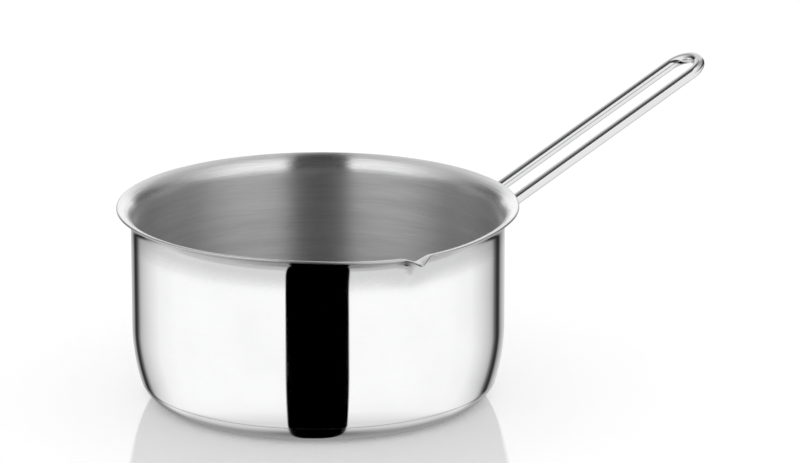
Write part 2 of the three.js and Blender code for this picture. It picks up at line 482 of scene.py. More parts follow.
@dataclass(frozen=True)
class SteelFinish:
    """A finish of bare metal.

    Attributes:
        name: Name of the material.
        bright: Colour of the clean metal, and of the crests of its grain.
        dull: Colour where it is smudged, and in the hollows of its grain.
        roughness: Roughness of the clean metal and of the dull places.
        stretch: Repeats of the brush marks per metre along each number of the grain.
        line_share: Share of the brush marks in the colour and roughness, against smudges.
        relief: Height in metres of the brush lines.
        waviness: Height in metres of the slow unevenness of the sheet.
        anisotropy: How much reflections are drawn out across the brush lines.
        buffed: Heights in metres between which the metal goes over to a buffed edge, if any.
        buffed_roughness: Roughness of that edge.
        shade: Painted shade: share of its brightness that the colour loses close under an
        overhang of its own.
        shade_reach: Distance in metres at which an overhang is no longer felt.
        shade_span: Share of open sky at which that painted shade is whole, and at which it is gone.
        shade_samples: Number of directions in which an overhang is looked for.
        fine_share: Share of the fine lines in the brush marks, against the wider streaks.
        wave_scale: Repeats of the slow unevenness per metre.
        lay: Turn of the brush lines on the surface, as a share of a whole turn.
    """

    name: str
    bright: Colour
    dull: Colour
    roughness: Fade
    stretch: tuple[float, float, float]
    line_share: float
    relief: float = 0.0
    waviness: float = 0.0
    anisotropy: float = 0.0
    buffed: Fade | None = None
    buffed_roughness: float = 0.0
    shade: float = 0.0
    shade_reach: float = 0.0145
    shade_span: Fade = (0.93, 1.0)
    shade_samples: int = 16
    fine_share: float = 0.5
    wave_scale: float = 26.0
    lay: float = 0.25

    def make(self, effects: Effects) -> Material:
        """Builds the material from the shared effects.

        Args:
            effects: The shared node groups.

        Returns:
            The material.
        """
        material = bpy.data.materials.new(self.name)
        wiring = Wiring.fresh(material)
        grain = wiring.node("ShaderNodeAttribute", attribute_name=GRAIN).outputs["Vector"]
        place = wiring.node("ShaderNodeTexCoord").outputs["Object"]
        brushed = {"Grain": grain, "Stretch": self.stretch}
        brushing = wiring.node("ShaderNodeGroup", brushed, node_tree=effects.brushing).outputs
        handling = wiring.node(
            "ShaderNodeGroup", {"Place": place}, node_tree=effects.handling
        ).outputs
        lines = wiring.weigh(brushing["Line"], brushing["Streak"], self.fine_share)
        worn = wiring.math("MAXIMUM", handling["Smudge"], handling["Scratch"])
        dullness = wiring.weigh(lines, worn, self.line_share)
        steel = wiring.node("ShaderNodeBsdfPrincipled", {
            "Base Color": self.colour(wiring, dullness),
            "Roughness": self.gloss(wiring, dullness, place),
            "Normal": self.surface(wiring, brushing["Line"], place),
            "Metallic": 1.0,
            "Anisotropic": self.anisotropy,
            "Anisotropic Rotation": self.lay,
        })
        wiring.node("ShaderNodeOutputMaterial", {"Surface": steel.outputs[0]})
        return material

    def colour(self, wiring: Wiring, dullness: Socket) -> Socket:
        """Colour from bright to dull, darkened where an overhang covers the sky.

        Args:
            wiring: Wiring of the material.
            dullness: Socket of the dullness, from 0 to 1.

        Returns:
            The socket of the colour.
        """
        plain = wiring.mix(dullness, self.bright, self.dull)
        if not self.shade:
            return plain
        # Painted shade: ambient occlusion from the pan's own lip darkens the base colour.
        reach = {"Distance": self.shade_reach}
        sky = wiring.node(
            "ShaderNodeAmbientOcclusion", reach, samples=self.shade_samples, only_local=True
        )
        lit = wiring.stretch(sky.outputs["AO"], self.shade_span, (1.0 - self.shade, 1.0))
        return wiring.shade(plain, lit)

    def gloss(self, wiring: Wiring, dullness: Socket, place: Socket) -> Socket:
        """Roughness from clean to dull, going over to the buffed edge.

        Args:
            wiring: Wiring of the material.
            dullness: Socket of the dullness, from 0 to 1.
            place: Socket of the place.

        Returns:
            The socket of the roughness.
        """
        plain = wiring.stretch(dullness, (0.0, 1.0), self.roughness)
        if not self.buffed:
            return plain
        height = wiring.node("ShaderNodeSeparateXYZ", {0: place}).outputs["Z"]
        return wiring.stretch(height, self.buffed, (plain, self.buffed_roughness))

    def surface(self, wiring: Wiring, lines: Socket, place: Socket) -> Socket:
        """Direction of the surface: the brush lines' height plus the slow unevenness.

        Args:
            wiring: Wiring of the material.
            lines: Socket of the fine brush lines, from 0 to 1.
            place: Socket of the place.

        Returns:
            The socket of the direction.
        """
        waves = {"Vector": place, "Scale": self.wave_scale, "Detail": 1.0}
        uneven = wiring.node("ShaderNodeTexNoise", waves).outputs[0]
        slow = wiring.math("MULTIPLY", uneven, self.waviness)
        relief = wiring.math("MULTIPLY_ADD", lines, self.relief, slow)
        bump = {"Height": relief, "Strength": 1.0, "Distance": 1.0}
        return wiring.node("ShaderNodeBump", bump).outputs[0]


# The outer polish carries painted shade: its colour darkens by up to a third under the lip's
# overhang.
MIRROR_AND_PAINTED_SHADE = SteelFinish(
    name="mirror_polish",
    bright=(0.965, 0.966, 0.968, 1.0),
    dull=(0.92, 0.921, 0.923, 1.0),
    roughness=(0.025, 0.06),
    stretch=(40.0, 40.0, 900.0),
    line_share=0.2,
    waviness=0.000002,
    # painted shade under the lip
    shade=0.34,
)
BRUSHED = SteelFinish(
    name="ring_brushed_inside",
    bright=(0.985, 0.985, 0.987, 1.0),
    dull=(0.84, 0.84, 0.844, 1.0),
    roughness=(0.43, 0.55),
    stretch=(60.0, 60.0, 1000.0),
    line_share=0.85,
    relief=0.00005,
    anisotropy=1.0,
    buffed=(0.0752, 0.079),
    buffed_roughness=0.27,
)
LIP_EDGE = SteelFinish(
    name="ground_lip_edge",
    bright=(0.68, 0.682, 0.685, 1.0),
    dull=(0.54, 0.542, 0.545, 1.0),
    roughness=(0.26, 0.36),
    stretch=(60.0, 60.0, 2600.0),
    line_share=0.6,
    relief=0.000002,
)
# The inside floor is the same steel sheet as the inside wall; its far darker grey is painted shade
# inside the pan, and its rings are real brush grain.
PAN_FLOOR_AND_PAINTED_SHADE = SteelFinish(
    name="ring_brushed_floor",
    bright=(0.42, 0.421, 0.424, 1.0),
    dull=(0.29, 0.291, 0.294, 1.0),
    roughness=(0.3, 0.42),
    stretch=(45.0, 45.0, 1400.0),
    line_share=0.8,
    relief=0.000003,
    anisotropy=0.7,
)
SATIN = SteelFinish(
    name="satin_base",
    bright=(0.6, 0.602, 0.605, 1.0),
    dull=(0.46, 0.462, 0.465, 1.0),
    roughness=(0.2, 0.36),
    stretch=(30.0, 30.0, 1800.0),
    line_share=0.65,
    relief=0.000004,
    anisotropy=0.6,
)
CAP_POLISH = SteelFinish(
    name="cap_polish",
    bright=(0.94, 0.942, 0.945, 1.0),
    dull=(0.88, 0.882, 0.885, 1.0),
    roughness=(0.05, 0.1),
    stretch=(40.0, 40.0, 900.0),
    line_share=0.3,
    waviness=0.000001,
)
ROD_POLISH = SteelFinish(
    name="rod_polish",
    bright=(0.84, 0.842, 0.845, 1.0),
    dull=(0.76, 0.762, 0.765, 1.0),
    roughness=(0.06, 0.12),
    stretch=(60.0, 2500.0, 2500.0),
    line_share=0.5,
    waviness=0.000001,
)
WELD_METAL = SteelFinish(
    name="washed_weld",
    bright=(0.62, 0.61, 0.59, 1.0),
    dull=(0.44, 0.42, 0.39, 1.0),
    roughness=(0.22, 0.42),
    stretch=(900.0, 900.0, 900.0),
    line_share=0.5,
    relief=0.00001,
)
CAST_ALUMINIUM = SteelFinish(
    name="turned_aluminium",
    bright=(0.8, 0.805, 0.81, 1.0),
    dull=(0.66, 0.665, 0.67, 1.0),
    roughness=(0.35, 0.52),
    stretch=(30.0, 30.0, 900.0),
    line_share=0.5,
    relief=0.000006,
)


@dataclass
class PanCurve:
    """The outer curve of vessel and base: a wide arc under the wall, then a tight one to the base.

    Attributes:
        inner_radius: Inside radius of the wall.
        sheet: Thickness of the vessel's sheet.
        side_arc: Radius of the wide arc.
        base_arc: Radius of the tight arc.
        change: Angle in radians below the level at which one arc runs into the other.
        floor_underside: Height of the underside of the vessel's floor.
    """

    inner_radius: float = 0.080
    sheet: float = 0.001
    side_arc: float = 0.090
    base_arc: float = 0.012
    change: float = math.radians(15)
    floor_underside: float = 0.0042

    @property
    def outer_radius(self) -> float:
        """Outside radius of the wall."""
        return self.inner_radius + self.sheet

    @property
    def arc_step(self) -> float:
        """Distance between the centres of the two arcs."""
        return self.side_arc - self.base_arc

    @property
    def side_centre(self) -> np.ndarray:
        """Centre of the wide arc, level with the lower end of the wall."""
        height = self.base_arc + self.arc_step * math.sin(self.change)
        return np.array([self.outer_radius - self.side_arc, height])

    @property
    def base_centre(self) -> np.ndarray:
        """Centre of the tight arc, as high over the underside as its radius."""
        radius = self.side_centre[0] + self.arc_step * math.cos(self.change)
        return np.array([radius, self.base_arc])

    @property
    def heel_radius(self) -> float:
        """Radius of the vessel's own turn to its floor, from the change of arcs on."""
        return self.base_arc - self.floor_underside / (1.0 - math.sin(self.change))

    @property
    def heel_centre(self) -> np.ndarray:
        """Centre of that turn, on the line from the tight arc's centre to the change of arcs."""
        outward = np.array([math.cos(self.change), -math.sin(self.change)])
        return self.base_centre + (self.base_arc - self.heel_radius) * outward


@dataclass
class Vessel:
    """The drawn vessel with its flared lip and pressed spout.

    Attributes:
        curve: The outer curve.
        rim_height: Height of the lip's top.
        flare_radius: Radius of the flare's outer face.
        flare_angle: Angle in radians through which the flare turns out.
        swelling_reach: How far the wide part of the spout pulls the rim out.
        swelling_dip: How far it pulls the rim down.
        swelling_half_width: Half its width along the rim.
        swelling_depth: How far from the lip's end, along the sheet, it is felt.
        beak_reach: How far the beak presses the rim out.
        beak_depth: How far from the lip's end, along the sheet, that is felt.
        beak_dip: How far the beak bends the rim down.
        beak_bend: How far from the lip's end that is felt.
        beak_half_width: Half the beak's width along the rim.
        beak_rounding: Rounding of the beak's point.
        columns: Number of columns round the vessel.
        crowding: How strongly the columns draw together round the spout.
        wall_rows: Shares of the wall's height at which it has rows, denser towards the lip.
        heel_steps: Rows of the turn to the floor, outside.
        corner_steps: Rows of the turn to the floor, inside.
        side_steps: Rows of the wide arc.
        flare_steps: Rows of the flare.
        edge_steps: Rows round the lip's edge.
        crease: Angle in radians past which an edge is drawn sharp.
    """

    curve: PanCurve
    rim_height: float = 0.0845
    flare_radius: float = 0.007
    flare_angle: float = math.radians(80)
    swelling_reach: float = 0.0008
    swelling_dip: float = 0.0017
    swelling_half_width: float = 0.068
    swelling_depth: float = 0.020
    beak_reach: float = 0.0038
    beak_depth: float = 0.0145
    beak_dip: float = 0.0022
    beak_bend: float = 0.007
    beak_half_width: float = 0.008
    beak_rounding: float = 0.0017
    columns: int = 320
    crowding: float = 0.7
    wall_rows: tuple[float, ...] = (
        0.02, 0.06, 0.2, 0.4, 0.6, 0.7, 0.77, 0.82, 0.86, 0.9, 0.93, 0.96, 0.985,
    )
    heel_steps: int = 16
    corner_steps: int = 20
    side_steps: int = 14
    flare_steps: int = 26
    edge_steps: int = 10
    crease: float = math.radians(60)

    @property
    def flare_start(self) -> float:
        """Height at which the wall runs into the flare."""
        half = self.curve.sheet / 2
        return self.rim_height - half - (self.flare_radius + half) * math.sin(self.flare_angle)

    @property
    def flare_centre(self) -> np.ndarray:
        """Centre of the flare's arcs in the section."""
        return np.array([self.curve.outer_radius + self.flare_radius, self.flare_start])

    @property
    def lip_radius(self) -> float:
        """Radius of the lip at the end of the flare's outer face."""
        return self.curve.outer_radius + self.flare_radius * (1.0 - math.cos(self.flare_angle))

    def section(self) -> tuple[np.ndarray, np.ndarray]:
        """The sheet's section: up the outer face, round the lip's edge and down the inner face.

        Returns:
            The points, and for each gap between them whether it is outside (0), edge (1),
            wall (2) or floor (3).
        """
        curve, sheet = self.curve, self.curve.sheet
        heel, side, flare = curve.heel_centre, curve.side_centre, self.flare_centre
        turn = math.pi - self.flare_angle
        middle = arc(flare, self.flare_radius + sheet / 2, turn, turn, 1)[0]
        outer_wall, inner_wall = (
            line((radius, side[1]), (radius, self.flare_start), self.wall_rows)
            for radius in (curve.outer_radius, curve.inner_radius)
        )
        outer = [
            np.array([[0.0, curve.floor_underside]]),
            arc(heel, curve.heel_radius, STRAIGHT_DOWN, -curve.change, self.heel_steps),
            arc(side, curve.side_arc, -curve.change, 0.0, self.side_steps)[1:],
            outer_wall,
            arc(flare, self.flare_radius, math.pi, turn, self.flare_steps),
        ]
        edge = arc(middle, sheet / 2, turn - math.pi, turn, self.edge_steps)[1:-1]
        corner = curve.heel_radius - sheet
        inner = [
            arc(flare, self.flare_radius + sheet, turn, math.pi, self.flare_steps),
            inner_wall[::-1],
            arc(side, curve.side_arc - sheet, 0.0, -curve.change, self.side_steps),
            arc(heel, corner, -curve.change, STRAIGHT_DOWN, self.corner_steps)[1:],
            np.array([[0.0, curve.floor_underside + sheet]]),
        ]
        outside = sum(len(part) for part in outer)
        lip = outside + len(edge)
        walls = lip + sum(len(part) for part in inner[:3])
        points = np.concatenate([*outer, edge, *inner])
        gaps = np.arange(len(points) - 1)
        return points, np.searchsorted([outside - 1, lip, walls], gaps, side="right")

    def below_lip(self, radius: np.ndarray, height: np.ndarray) -> np.ndarray:
        """Distance from the lip's end along the middle of the sheet, so both faces move alike.

        On the flare it is the angle still to turn times the middle arc's radius; below, the way
        down is added.

        Args:
            radius: Radii of the points.
            height: Heights of the points.

        Returns:
            The distances.
        """
        angle = np.arctan2(height - self.flare_start, self.flare_centre[0] - radius)
        still = self.flare_angle - np.clip(angle, 0.0, self.flare_angle)
        down = np.maximum(0.0, self.flare_start - height)
        return (self.flare_radius + self.curve.sheet / 2) * still + down

    def swelling(self, along: np.ndarray) -> np.ndarray:
        """Share of the swelling along the rim: the squared cosine of the way to its end."""
        across = np.minimum(1.0, np.abs(along) / self.swelling_half_width)
        return np.cos(across * math.pi / 2) ** 2

    def beak(self, along: np.ndarray) -> np.ndarray:
        """Share of the beak along the rim: flanks that meet in a rounded point and run out softly.

        It is the square of 1 minus the way across, which is measured along a hyperbola.

        Args:
            along: Distances along the rim from the beak's middle.

        Returns:
            The shares.
        """
        rounding = self.beak_rounding
        end = math.hypot(self.beak_half_width, rounding) - rounding
        across = np.minimum(1.0, (np.hypot(along, rounding) - rounding) / end)
        return (1.0 - across) ** 2

    def build(self, materials: Sequence[Material]) -> Object:
        """Turns the section about the axis and presses the spout into it.

        The spout moves a point out by its reach and down by its dip, times its share along the
        rim and a share that falls from 1 at the lip's end to 0 at its depth, evenly for the beak
        and squared for the swelling.

        Args:
            materials: The finishes of outside, edge, wall and floor.

        Returns:
            The vessel.
        """
        section, bands = self.section()
        even = np.linspace(-math.pi, math.pi, self.columns, endpoint=False)
        azimuth = even - self.crowding * np.sin(even)
        skin = turned_skin(section, azimuth, bands)
        radius, height = section[1:-1, :1], section[1:-1, 1:]
        below = self.below_lip(radius, height)
        along = azimuth[None, :] * self.lip_radius
        wide = self.swelling(along) * np.maximum(0.0, 1.0 - below / self.swelling_depth) ** 2
        pressed = self.beak(along) * np.maximum(0.0, 1.0 - below / self.beak_depth)
        bent = self.beak(along) * np.maximum(0.0, 1.0 - below / self.beak_bend)
        out = radius + self.swelling_reach * wide + self.beak_reach * pressed
        down = height - self.swelling_dip * wide - self.beak_dip * bent
        skin.rings = turned(out, down, azimuth)
        return skin.make("vessel_shell", materials, self.crease)

    def dress(self, effects: Effects) -> None:
        """Builds the vessel with its four finishes and puts it in place of its CAD node."""
        finishes = [finish.make(effects) for finish in (MIRROR_AND_PAINTED_SHADE, LIP_EDGE, BRUSHED, PAN_FLOOR_AND_PAINTED_SHADE)]
        adopt(self.build(finishes), "vessel")


@dataclass
class Base:
    """The heat spreader under the floor, and the steel cap that seals it.

    Attributes:
        curve: The outer curve.
        cap_sheet: Thickness of the cap.
        cap_edge: Thickness of its edge, where it meets the vessel.
        seam: Clearance between the cap's edge and the vessel.
        columns: Number of columns round the cap.
        underside_rows: Shares of the flat underside's radius at which it has rows.
        rise_steps: Rows of the cap's outer curve.
        inside_steps: Rows of its inside.
        crease: Angle in radians past which an edge is drawn sharp.
    """

    curve: PanCurve
    cap_sheet: float = 0.0006
    cap_edge: float = 0.00005
    seam: float = 0.00002
    columns: int = 288
    underside_rows: tuple[float, ...] = (0.0, 0.5, 0.9, 0.97, 0.99)
    rise_steps: int = 24
    inside_steps: int = 10
    crease: float = math.radians(35)

    def meeting(self, radius: float, reach: float) -> float:
        """Angle at which a circle about the tight arc's centre crosses one about the heel's centre.

        By the law of cosines, measured down from the line that joins the two centres.

        Args:
            radius: Radius of the first circle.
            reach: Radius of the second circle.

        Returns:
            The angle on the first circle, in radians in the section.
        """
        offset = self.curve.base_arc - self.curve.heel_radius
        cosine = (radius**2 + offset**2 - reach**2) / (2.0 * radius * offset)
        return -self.curve.change - math.acos(cosine)

    def section(self) -> tuple[np.ndarray, np.ndarray]:
        """The cap's section: along the underside, up its curve, over its thin edge and back inside.

        Returns:
            The points, the first and last on the axis, and for each gap between them whether it
            is on the polished curve (1) or satin (0).
        """
        centre, outside = self.curve.base_centre, self.curve.base_arc
        inside = outside - self.cap_sheet
        reach = self.curve.heel_radius + self.seam
        edge = self.meeting(outside, reach + self.cap_edge)
        bevel = self.meeting(inside, reach)
        underside = line((0.0, 0.0), (centre[0], 0.0), self.underside_rows)
        rise = arc(centre, outside, STRAIGHT_DOWN, edge, self.rise_steps)
        back = arc(centre, inside, bevel, STRAIGHT_DOWN, self.inside_steps)
        points = np.concatenate([underside, rise, back, np.array([[0.0, self.cap_sheet]])])
        gap = np.arange(len(points) - 1)
        bands = (gap >= len(underside)) & (gap < len(underside) + len(rise) - 1)
        return points, bands.astype(int)

    def build(self, materials: Sequence[Material]) -> Object:
        """Turns the cap's section about the axis.

        Args:
            materials: The satin finish and the polished one.

        Returns:
            The cap.
        """
        section, bands = self.section()
        azimuth = np.linspace(-math.pi, math.pi, self.columns, endpoint=False)
        return turned_skin(section, azimuth, bands).make("base_dish", materials, self.crease)

    def dress(self, effects: Effects) -> None:
        """Builds the cap in place of its CAD node, and gives the spreader inside it its finish.

        Args:
            effects: The shared node groups.
        """
        finishes = [SATIN.make(effects), CAP_POLISH.make(effects)]
        adopt(self.build(finishes), "base_cap")
        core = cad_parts["base_core"]
        core.data.materials.clear()
        core.data.materials.append(CAST_ALUMINIUM.make(effects))
        log.info("base_core: CAD node with its own finish")


@dataclass
class Handle:
    """The handle: one rod bent to a hairpin, with both ends turned down and welded to the wall.

    Attributes:
        curve: The outer curve, for the wall's radius.
        rim_height: Height of the vessel's lip.
        rod_radius: Radius of the rod.
        clearance: Room between the rod and the wall.
        half_spacing: Half the distance between the two runs, and radius of the hairpin bend.
        length: Length of the slope, from the knee's corner to the middle of the hairpin bend.
        slope: Rise of the handle in radians.
        knee_drop: How far the knee's corner lies below the lip.
        knee_radius: Radius of the knee bend.
        leg_length: Length of a leg below the knee's corner.
        end_round: Rounding of the rod's cut ends.
        sides: Number of sides of the rod.
        leg_rows: Shares of a leg's straight at which it has rows.
        slope_rows: Shares of the slope's straight at which it has rows.
        knee_steps: Rows of the knee bend.
        bend_steps: Rows of the hairpin bend.
        end_rows: Rows of a rounded end.
        rod_crease: Angle in radians past which an edge of the rod is drawn sharp.
        weld_size: Width of a weld on the wall and on the rod.
        weld_inset: Distance of a weld's ends from the leg's ends.
        weld_crown: How far a weld's free face stands out.
        weld_round: Length of a weld's rounded end.
        weld_tip: Share of the section that is left at the end.
        weld_rows: Rows along a weld between its ends.
        weld_end_steps: Rows of a rounded end.
        weld_foot_steps: Points of the section along the wall, and along the rod.
        weld_face_steps: Points of the section across the free face.
        weld_crease: Angle in radians past which an edge of a weld is drawn sharp.
        ripple: Height of the ripples along a weld.
        ripple_pitch: Distance between two ripples.
    """

    curve: PanCurve
    rim_height: float
    rod_radius: float = 0.0025
    clearance: float = 0.0003
    half_spacing: float = 0.009
    length: float = 0.114
    slope: float = math.radians(26.8)
    knee_drop: float = 0.0142
    knee_radius: float = 0.009
    leg_length: float = 0.032
    end_round: float = 0.0006
    sides: int = 48
    leg_rows: tuple[float, ...] = (0.0, 0.02, 0.1, 0.5, 0.9, 0.98)
    slope_rows: tuple[float, ...] = (0.01, 0.05, 0.3, 0.6, 0.9, 0.98)
    knee_steps: int = 28
    bend_steps: int = 64
    end_rows: int = 6
    rod_crease: float = math.radians(60)
    weld_size: float = 0.0028
    weld_inset: float = 0.003
    weld_crown: float = 0.0004
    weld_round: float = 0.0018
    weld_tip: float = 0.02
    weld_rows: int = 96
    weld_end_steps: int = 8
    weld_foot_steps: int = 8
    weld_face_steps: int = 13
    weld_crease: float = math.radians(50)
    ripple: float = 0.00012
    ripple_pitch: float = 0.0011

    @property
    def leg_axis(self) -> float:
        """Distance of a leg's middle line from the pan's axis."""
        return self.curve.outer_radius + self.clearance + self.rod_radius

    @property
    def leg_azimuth(self) -> float:
        """Angle of a leg from the handle's middle plane, seen from above."""
        return math.asin(self.half_spacing / self.leg_axis)

    @property
    def knee(self) -> np.ndarray:
        """The knee's corner in the handle's middle plane."""
        radius = self.leg_axis * math.cos(self.leg_azimuth)
        return np.array([radius, 0.0, self.rim_height - self.knee_drop])

    @property
    def knee_tangent(self) -> float:
        """Distance from the knee's corner to either end of its bend."""
        return self.knee_radius * math.tan((math.pi / 2 - self.slope) / 2)

    def run(self) -> tuple[np.ndarray, np.ndarray]:
        """One run in the handle's middle plane, from the leg's end to the hairpin bend.

        It goes straight up, turns about the knee's centre, and goes straight out along the slope.
        The second array is each point's upward side: the direction of travel, turned a quarter.

        Returns:
            The points from the knee's corner, and the upward sides.
        """
        rise = np.array([math.cos(self.slope), math.sin(self.slope)])
        tangent, radius = self.knee_tangent, self.knee_radius
        centre = np.array([radius, -tangent])
        leg = line((0.0, -self.leg_length), (0.0, -tangent), self.leg_rows)
        bend = arc(centre, radius, math.pi, math.pi / 2 + self.slope, self.knee_steps)
        out = line(tangent * rise, self.length * rise, self.slope_rows)
        along_leg = np.tile([-1.0, 0.0], (len(leg), 1))
        along_bend = (bend - centre) / radius
        along_out = np.tile([-rise[1], rise[0]], (len(out), 1))
        upward = np.concatenate([along_leg, along_bend, along_out])
        return np.concatenate([leg, bend, out]), upward

    def centre_line(self) -> tuple[np.ndarray, np.ndarray]:
        """The whole rod: up the near run, round the hairpin bend and down the far run.

        The bend is a half circle in the plane of the slope, about the middle of the slope's end.

        Returns:
            The points of the centre line, and the upward side at each.
        """
        points, upward = self.run()
        width = np.full(len(points), -self.half_spacing)
        near = np.stack([points[:, 0], width, points[:, 1]], axis=1)
        far = near[::-1] * np.array([1.0, -1.0, 1.0])
        side = np.stack([upward[:, 0], np.zeros(len(points)), upward[:, 1]], axis=1)
        rise = np.array([math.cos(self.slope), 0.0, math.sin(self.slope)])
        across = np.array([0.0, 1.0, 0.0])
        turn = np.linspace(0.0, math.pi, self.bend_steps + 1)[:, None]
        half_circle = np.sin(turn) * rise - np.cos(turn) * across
        bend = self.length * rise + self.half_spacing * half_circle
        bend_side = np.tile(side[-1], (len(bend), 1))
        sides = np.concatenate([side, bend_side, side[::-1]])
        return np.concatenate([near, bend, far]) + self.knee, sides

    def build_rod(self, materials: Sequence[Material]) -> Object:
        """Carries a circle along the centre line, drawn in at both ends by a quarter round.

        A ring's point is the centre plus radius times (cosine times upward side plus sine times
        the other side). The grain is the length walked, and the place round the rod.

        Args:
            materials: The rod's finish alone.

        Returns:
            The rod.
        """
        centre, upward = self.centre_line()
        walk = np.gradient(centre, axis=0)
        walk /= np.linalg.norm(walk, axis=1, keepdims=True)
        quarter = np.linspace(0.0, math.pi / 2, self.end_rows)
        shrink = self.rod_radius - self.end_round * (1.0 - np.sin(quarter))
        setback = self.end_round * (1.0 - np.cos(quarter))
        start = centre[0] + setback[:, None] * walk[0]
        end = centre[-1] - setback[::-1, None] * walk[-1]
        spine = np.concatenate([start, centre[1:-1], end])
        held = (self.end_rows, 1)
        sides, ahead = (
            np.concatenate([np.tile(way[0], held), way[1:-1], np.tile(way[-1], held)])
            for way in (upward, walk)
        )
        even = np.full(len(centre) - 2, self.rod_radius)
        radius = np.concatenate([shrink, even, shrink[::-1]])[:, None]
        other = np.cross(ahead, sides)
        angle = np.linspace(0.0, 2.0 * math.pi, self.sides, endpoint=False)
        upwards, sideways = radius * np.cos(angle), radius * np.sin(angle)
        rings = spine[:, None] + upwards[..., None] * sides[:, None]
        rings = rings + sideways[..., None] * other[:, None]
        walked = np.broadcast_to(path_length(spine)[:, None], upwards.shape)
        grain = np.stack([walked, upwards, sideways], axis=-1).reshape(-1, 3)
        ends = np.array([[0.0, 0.0, 0.0], [walked[-1, 0], 0.0, 0.0]])
        grain = np.concatenate([ends[:1], grain, ends[1:]])
        skin = Skin(rings, spine[[0, -1]], grain, np.zeros(len(rings) + 1, int))
        return skin.make("handle_hairpin", materials, self.rod_crease)

    def weld_section(self, side: int, swell: np.ndarray) -> np.ndarray:
        """Section of a weld in the nook between a leg on +X and the wall, seen from above.

        It runs along the wall from the root to the toe, back over the free face, a curve drawn to
        a point between wall and rod, and along the rod to the root again.

        Args:
            side: 1 or -1, the side of the leg.
            swell: How far the free face stands out at each station along the weld.

        Returns:
            The points, as stations by points by 2.
        """
        wall = self.curve.outer_radius
        leg = self.rod_radius + self.clearance
        axis = self.leg_axis
        root = math.acos((wall**2 + axis**2 - leg**2) / (2.0 * wall * axis))
        toe = root + self.weld_size / wall
        leg_root = math.atan2(wall * math.sin(root), wall * math.cos(root) - axis)
        leg_toe = leg_root - self.weld_size / leg
        along_wall = arc((0.0, 0.0), wall, root, toe, self.weld_foot_steps)
        along_leg = arc((axis, 0.0), self.rod_radius, leg_toe, leg_root, self.weld_foot_steps)
        middle = wall * math.sin(root) + self.weld_size / 2
        hollow = np.array([wall + self.weld_size / 3, middle])
        outward = np.array([1.0, 1.0]) / math.sqrt(2.0)
        pull = hollow + swell[:, None] * outward
        t = np.linspace(0.0, 1.0, self.weld_face_steps + 1)[1:-1, None]
        feet = (1 - t) ** 2 * along_wall[-1] + t**2 * along_leg[0]
        free = feet + 2 * t * (1 - t) * pull[:, None]
        fixed_wall, fixed_leg = (
            np.broadcast_to(part, (len(swell), *part.shape)) for part in (along_wall, along_leg)
        )
        points = np.concatenate([fixed_wall, free, fixed_leg[:, :-1]], axis=1)
        return points * np.array([1.0, side])

    def build_weld(self, leg: Leg, nook: Nook, materials: Sequence[Material]) -> Object:
        """Carries the weld's section up the leg, with ripples along it and rounded ends.

        The free face rises by a rectified sine wave, once for each ripple. Towards either end the
        section shrinks to its root as a quarter circle does.

        Args:
            leg: The leg.
            nook: The side of the leg.
            materials: The weld's finish alone.

        Returns:
            The weld.
        """
        low = self.knee[2] - self.leg_length + self.weld_inset
        high = self.knee[2] - self.knee_tangent - self.weld_inset
        turn = np.linspace(0.0, math.pi / 2, self.weld_end_steps + 1)[:-1]
        ends = self.weld_round * (1.0 - np.cos(turn))
        body = np.linspace(low + self.weld_round, high - self.weld_round, self.weld_rows)
        height = np.concatenate([low + ends, body, (high - ends)[::-1]])
        size = np.concatenate([np.sin(turn), np.ones(self.weld_rows), np.sin(turn)[::-1]])
        wave = np.abs(np.sin(math.pi * (height - low) / self.ripple_pitch))
        swell = self.ripple * (2.0 * wave - 1.0) + self.weld_crown
        side = leg.value * nook.value
        section = self.weld_section(side, swell)
        root = section[:, :1]
        section = root + (section - root) * np.maximum(size, self.weld_tip)[:, None, None]
        if side > 0:
            section = section[:, ::-1]
        azimuth = leg.value * self.leg_azimuth
        cosine, sine = math.cos(azimuth), math.sin(azimuth)
        plan = section @ np.array([[cosine, sine], [-sine, cosine]])
        level = np.broadcast_to(height[:, None, None], (*plan.shape[:2], 1))
        rings = np.concatenate([plan, level], axis=-1)
        poles = rings[[0, -1]].mean(axis=1)
        grain = np.concatenate([poles[:1], rings.reshape(-1, 3), poles[1:]])
        skin = Skin(rings, poles, grain, np.zeros(len(rings) + 1, int))
        name = f"weld_bead_{leg.name.lower()}_{nook.name.lower()}"
        return skin.make(name, materials, self.weld_crease)

    def dress(self, effects: Effects) -> None:
        """Builds rod and welds in place of their CAD nodes.

        Args:
            effects: The shared node groups.
        """
        adopt(self.build_rod([ROD_POLISH.make(effects)]), "handle_rod")
        weld_metal = WELD_METAL.make(effects)
        for leg in Leg:
            for nook in Nook:
                node = f"weld_{leg.name.lower()}_{nook.name.lower()}"
                adopt(self.build_weld(leg, nook, [weld_metal]), node)


